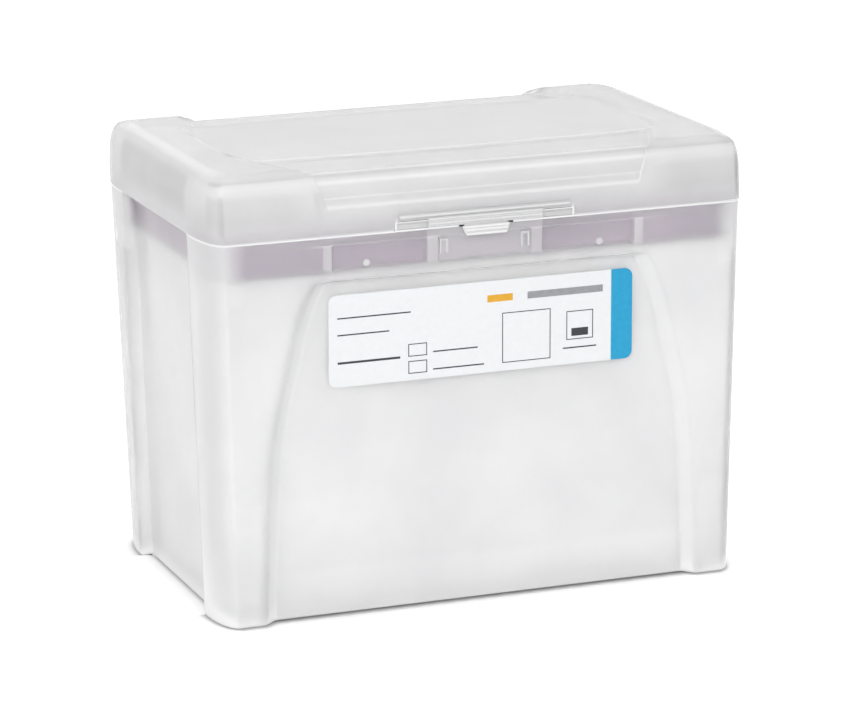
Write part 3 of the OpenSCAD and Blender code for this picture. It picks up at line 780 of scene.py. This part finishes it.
for point in tray.verts:
    if abs(point.co.x) > SKIRT_X + 2 and abs(point.co.y) < CUT_Y + CUT_STEP / 2:
        point.co.x -= math.copysign(CUT_DEPTH, point.co.x)
bores = {}
for z in (DECK_Z, DECK_Z - DECK_T):
    edge = [e for e in tray.edges if e.is_boundary and abs(e.verts[0].co.z - z) < 0.1]
    for seat in range(COLUMNS * ROWS):
        hole = bmesh.ops.create_circle(tray, segments=32, radius=HOLE_R)["verts"]
        bmesh.ops.translate(tray, verts=hole, vec=(*seat_place(seat % COLUMNS, seat // COLUMNS), z))
        bores.setdefault(seat, []).append(list({e for v in hole for e in v.link_edges}))
    bmesh.ops.triangle_fill(tray, use_beauty=True, use_dissolve=False,
                            edges=edge + [e for loops in bores.values() for e in loops[-1]])
for loops in bores.values():
    bmesh.ops.bridge_loops(tray, edges=loops[0] + loops[1])
make_piece(tray, "tray_with_holes", [lilac_polypropylene], "base", "lilac_tray", "tip_tray")

# ---------------------------- tips
# Ninety-six long pipette tips of clear polypropylene, eight to a column. A collar stands
# on the tray, and the slim cone below it reaches almost to the floor.

TIP_TOP = DECK_Z + 4.8
# half section of a tip: radius and depth below its mouth
TIP_SECTION = ((3.45, 0), (3.9, 0), (4.1, 0.15), (4.15, 0.5), (4.15, 4.5), (3.85, 4.8), (3.6, 4.8),
               (3.45, 12.8), (2.85, 14), (2.3, 46.4), (1.25, 69.6), (0.65, 89.2), (0.35, 89.2), (0.7, 69.6),
               (1.65, 46.4), (2.7, 15), (3.1, 10), (3.45, 8))

# Unpigmented and thin: almost white with a slight gloss from every side.
tip_polypropylene = plain_plastic("tip_polypropylene", 6, "#f9f9f9", "#fefefe", 0.32, IOR=1.49)

for column in range(COLUMNS):
    tips = bmesh.new()
    section = bmesh.ops.create_circle(tips, segments=len(TIP_SECTION), radius=1)["verts"]
    for (radius, depth), point in zip(TIP_SECTION, section):
        point.co = (radius, 0, TIP_TOP - depth)
    bmesh.ops.spin(tips, geom=section + tips.edges[:], cent=(0, 0, 0), axis=(0, 0, 1), angle=2 * math.pi,
                   steps=24, use_merge=True)
    bmesh.ops.translate(tips, verts=tips.verts, vec=(*seat_place(column, 0), 0))
    first = everything(tips)
    for row in range(1, ROWS):
        made = bmesh.ops.duplicate(tips, geom=first)
        bmesh.ops.translate(tips, verts=grown(made), vec=(0, row * PITCH, 0))
    make_piece(tips, f"tips_in_column_{column + 1:02d}", [tip_polypropylene], "base", "clear_tips",
               f"tips_column_{column + 1:02d}")

# ---------------------------- label
# Self-adhesive polypropylene film on the arched panel: matt white, with a blue field at
# its right end and plain ruled fields to write in.

LABEL_X, LABEL_Z = 71.6, 20.8
LABEL_MIDDLE_Z = 62.8
LABEL_CORNER = 1.8
FILM, INK = 0.22, 0.02      # thickness
BLUE_FROM = 30.7
TILT = math.atan2(TOP_Y - FOOT_Y, RIM)
WHITE, BLUE, DARK, AMBER, PALE = range(5)
# lines and bars of the print: left, low, width, height, measured from the label's lower left
# corner, and ink
BARS = ((2, 15.4, 17, 0.3, DARK), (2, 11.6, 12, 0.3, DARK), (2, 5.2, 14.5, 0.5, DARK),
        (24.2, 5.9, 10.5, 0.3, DARK), (24.2, 1.9, 12, 0.3, DARK), (55, 3.6, 8, 0.3, DARK),
        (57, 6.4, 4, 1.8, DARK), (37, 16, 6, 1.6, AMBER), (46.5, 16, 18, 1.6, PALE))
# outlined boxes to write or stamp in: left, low, width, height
BOXES = ((18.4, 5.4, 4.4, 2.9), (18.4, 1.5, 4.4, 2.9), (40.5, 1.8, 11.5, 11.5), (55.8, 5.6, 6.4, 6.6))
BOX_LINE = 0.2


def printed_at(left, low, width, height, over):
    """The middle of a printed shape on the flat label, a little over the film."""
    return left + (width - LABEL_X) / 2, low + (height - LABEL_Z) / 2, FILM + over


# Matt film and inks, with a print's faint mottle of about a millimetre.
white_film = plain_plastic("matt_white_label_film", 1.2, "#f8fafc", "#fbfdff", 0.5)
blue_print = plain_plastic("blue_print_on_film", 1.2, "#1aa6d7", "#23abdb", 0.5)
dark_print = plain_plastic("dark_grey_print_on_film", 1.2, "#33363b", "#3c3f44", 0.5)
amber_print = plain_plastic("amber_print_on_film", 1.2, "#efb02a", "#f4b737", 0.5)
pale_print = plain_plastic("pale_grey_print_on_film", 1.2, "#9c9ea2", "#a6a8ab", 0.5)

label = bmesh.new()
sheet = bmesh.ops.create_grid(label, x_segments=1, y_segments=1, size=0.5)["verts"]
bmesh.ops.scale(label, verts=sheet, vec=(LABEL_X, LABEL_Z, 1))
bmesh.ops.bevel(label, geom=sheet, offset=LABEL_CORNER, segments=8, profile=0.5, affect="VERTICES",
                material=-1)
bmesh.ops.bisect_plane(label, geom=everything(label), plane_co=(BLUE_FROM, 0, 0), plane_no=(1, 0, 0))
for face in label.faces:
    face.material_index = BLUE if face.calc_center_median().x > BLUE_FROM else WHITE
made = bmesh.ops.extrude_face_region(label, geom=label.faces[:])
bmesh.ops.translate(label, verts=grown(made), vec=(0, 0, FILM))
for left, low, width, height, ink in BARS:
    bar = bmesh.ops.create_cube(label, size=1)["verts"]
    bmesh.ops.scale(label, verts=bar, vec=(width, height, INK))
    bmesh.ops.translate(label, verts=bar, vec=printed_at(left, low, width, height, 0.008))
    for face in {f for v in bar for f in v.link_faces}:
        face.material_index = ink
for left, low, width, height in BOXES:
    sheet = bmesh.ops.create_grid(label, x_segments=1, y_segments=1, size=0.5)["verts"]
    bmesh.ops.scale(label, verts=sheet, vec=(width, height, 1))
    bmesh.ops.translate(label, verts=sheet, vec=printed_at(left, low, width, height, 0.018))
    middle = sheet[0].link_faces[0]
    made = bmesh.ops.inset_individual(label, faces=[middle], thickness=BOX_LINE, use_even_offset=True)
    ring = made["faces"]
    bmesh.ops.delete(label, geom=[middle], context="FACES")
    made = bmesh.ops.extrude_face_region(label, geom=ring)
    bmesh.ops.translate(label, verts=grown(made), vec=(0, 0, -INK))
    for face in {f for v in grown(made) for f in v.link_faces} | set(ring):
        face.material_index = DARK
bmesh.ops.rotate(label, verts=label.verts, cent=(0, 0, 0), matrix=Matrix.Rotation(math.pi / 2, 3, "X"))
bmesh.ops.translate(label, verts=label.verts, vec=(0, ARCH_DEPTH, LABEL_MIDDLE_Z))
bmesh.ops.rotate(label, verts=label.verts, cent=(0, 0, 0), matrix=Matrix.Rotation(TILT, 3, "X"))
bmesh.ops.translate(label, verts=label.verts, vec=(0, -FOOT_Y, 0))
make_piece(label, "front_label_film", [white_film, blue_print, dark_print, amber_print, pale_print], "base",
           "label_film", "front_label")

# ---------------------------- studio
# The set that the box stands in: a matt white floor, broad soft lamps and a long lens, to
# the left of the box's front and a little above its rim.

# rings of the floor: how far outside the box's foot, how far its recesses are filled in, and
# the share of the backdrop's light there: low near the foot, where the floor's real shadow shows and is
# painted darker as a contact shadow, and below 0 under the box, for a painted glow
FLOOR_RINGS = ((-1, 0, -1), (0, 0, 0), (0.6, 0, 0.04), (1.2, 0, 0.14), (2.2, 0.4, 0.5),
               (3.4, 0.9, 0.88), (5, 1, 1))
FOOT_EASE = 0.3
FLOOR_HALF = 3000
FAR_DOWN = 0.02    # the far floor lies this much lower than the rings


def floor_point(column, ring, back):
    """Where a column of the base's wall, carried outwards, meets a ring of the floor, and its painted light.
    """
    kind, at = column[:2]
    out, filled, light = ring
    foot, _ = base_point(column, (0, 0, 1, FOOT_EASE), 0, False)
    straight = (kind, (at[0], 0) if kind == "end" else at, 0, 0)
    plain, _ = base_point(straight, (0, 0, 0, FOOT_EASE), 0, False)
    turn = math.radians({"corner": at, "end": 90}.get(kind, 0))
    x, y, _ = foot + (plain - foot) * filled + Vector((math.sin(turn), -math.cos(turn), 0)) * out
    # the painted contact shadow is lighter and narrower there
    if kind in ("corner", "end") and light > 0:
        # more light reaches the floor there
        light = light ** 0.6
    return Vector((x, -y if back else y, 0)), light


def seen_rays(tree, ray):
    """1 for the rays that look at the set, straight, mirrored or through plastic, and 0 for its light."""
    seen = add_node(tree, "Math", {}, {0: ray.outputs["Is Camera Ray"], 1: ray.outputs["Is Glossy Ray"]},
                    operation="MAXIMUM")
    return add_node(tree, "Math", {}, {0: seen.outputs[0], 1: ray.outputs["Is Transmission Ray"]},
                    operation="MAXIMUM").outputs[0]


# Matt white paint, as bright as the backdrop except where the box stands on it, where its real shadow is
# painted darker as a contact shadow.
# Under the box it glows for rays seen through the plastic: a painted glow that stands in for light getting
# under the box through its milky feet.
floor_paint, tree, place, mottle, tint = new_material("matt_white_floor_paint", 120, "#fdfdfd", "#ffffff")
share = add_node(tree, "Attribute", attribute_name="painted_light").outputs["Fac"]
painted_contact_shadow = add_node(tree, "MapRange", {"From Max": 0.4, "To Min": 0.6, "To Max": 1}, {"Value": share})
shade = add_node(tree, "VectorMath", {}, {0: tint, "Scale": painted_contact_shadow.outputs["Result"]}, operation="SCALE")
paint = add_node(tree, "BsdfDiffuse", {}, {"Color": shade.outputs["Vector"]})
ray = add_node(tree, "LightPath")
seen = seen_rays(tree, ray)
around = add_node(tree, "Math", {1: 0.35}, {0: share}, operation="MULTIPLY", use_clamp=True)
around = add_node(tree, "Math", {}, {0: around.outputs[0], 1: seen}, operation="MULTIPLY")
under = add_node(tree, "Math", {1: -0.9}, {0: share}, operation="MULTIPLY", use_clamp=True)
glow = add_node(tree, "Math", {}, {0: under.outputs[0], 1: ray.outputs["Is Transmission Ray"],
                                   2: around.outputs[0]}, operation="MULTIPLY_ADD")
lift = add_node(tree, "Emission", {"Color": (1, 1, 1, 1)}, {"Strength": glow.outputs[0]})
white = add_node(tree, "AddShader", {}, {0: paint.outputs[0], 1: lift.outputs[0]})
add_node(tree, "OutputMaterial", {}, {"Surface": white.outputs[0]})
ground = bmesh.new()
painted_light = ground.verts.layers.float.new("painted_light")
for back in (False, True):
    add_quarter(ground, BASE_COLUMNS, FLOOR_RINGS, lambda c, r: floor_point(c, r, back), 0)
close_round(ground)
under_box = [e for e in ground.edges if e.is_boundary and e.verts[0][painted_light] < 0]
bmesh.ops.edgeloop_fill(ground, edges=under_box)
for point in bmesh.ops.create_grid(ground, x_segments=1, y_segments=1, size=FLOOR_HALF)["verts"]:
    point.co.z = -FAR_DOWN
    point[painted_light] = 1
bmesh.ops.recalc_face_normals(ground, faces=ground.faces)
bmesh.ops.reverse_faces(ground, faces=[f for f in ground.faces if f.normal.z < 0])
bmesh.ops.translate(ground, verts=ground.verts, vec=(0, MIDDLE_Y, 0))
bmesh.ops.scale(ground, verts=ground.verts, vec=(0.001, 0.001, 0.001))
floor_mesh = bpy.data.meshes.new("floor")
ground.to_mesh(floor_mesh)
ground.free()
floor_mesh.materials.append(floor_paint)
floor = add_object("floor", floor_mesh)

# each lamp: place in metres, width of its soft face and watts
LAMPS = (("lamp_left", (-0.90, -0.75, 0.75), 0.6, 1.75), ("lamp_front", (-0.45, -1.05, 0.55), 0.6, 2.7),
         ("lamp_above", (0.0, 0.0, 1.2), 1.2, 1.0), ("lamp_behind", (0.1, 1.0, 0.45), 0.3, 0.1),
         ("lamp_right", (1.05, 0.0, 0.55), 0.6, 0.8))
AIM = Vector((0, 0, 0.05))
for name, spot, size, power in LAMPS:
    data = bpy.data.lights.new(name, "AREA")
    data.size = size
    data.energy = power
    lamp = add_object(name, data)
    lamp.location = spot
    lamp.rotation_euler = (AIM - Vector(spot)).to_track_quat("-Z", "Y").to_euler()

world = bpy.data.worlds.new("white_studio")
bpy.context.scene.world = world
world.use_nodes = True
tree = world.node_tree
tree.nodes.clear()
ray = add_node(tree, "LightPath")
room = add_node(tree, "Background", {"Color": (1, 1, 1, 1), "Strength": 0.63})
backdrop = add_node(tree, "Background", {"Color": (1, 1, 1, 1), "Strength": 1.0})
either = add_node(tree, "MixShader", {},
                  {0: seen_rays(tree, ray), 1: room.outputs[0], 2: backdrop.outputs[0]})
add_node(tree, "OutputWorld", {}, {"Surface": either.outputs[0]})
bpy.context.scene.view_settings.view_transform = "Standard"

# The camera looks at the box from the left of its front and a little above, from a metre away.
YAW, PITCH, ROLL = (math.radians(a) for a in (-19.813, 13.640, -0.931))
AWAY, ACROSS, UP = 0.964486, 0.000632, 0.046096   # its place from the box's middle, in its own directions
behind = Vector((math.sin(YAW) * math.cos(PITCH), -math.cos(YAW) * math.cos(PITCH), math.sin(PITCH)))
right = Vector((math.cos(YAW), math.sin(YAW), 0))
above = behind.cross(right)
stand = behind * AWAY + right * ACROSS + above * UP + Vector((0, MIDDLE_Y / 1000, 0))
side = right * math.cos(ROLL) + above * math.sin(ROLL)
top = above * math.cos(ROLL) - right * math.sin(ROLL)
data = bpy.data.cameras.new("camera")
data.sensor_width = 36
data.lens = 175.24
data.clip_start = 0.01
data.clip_end = 50
camera = add_object("camera", data)
camera.matrix_world = Matrix([[side[i], top[i], behind[i], stand[i]] for i in range(3)] + [[0, 0, 0, 1]])
bpy.context.scene.camera = camera
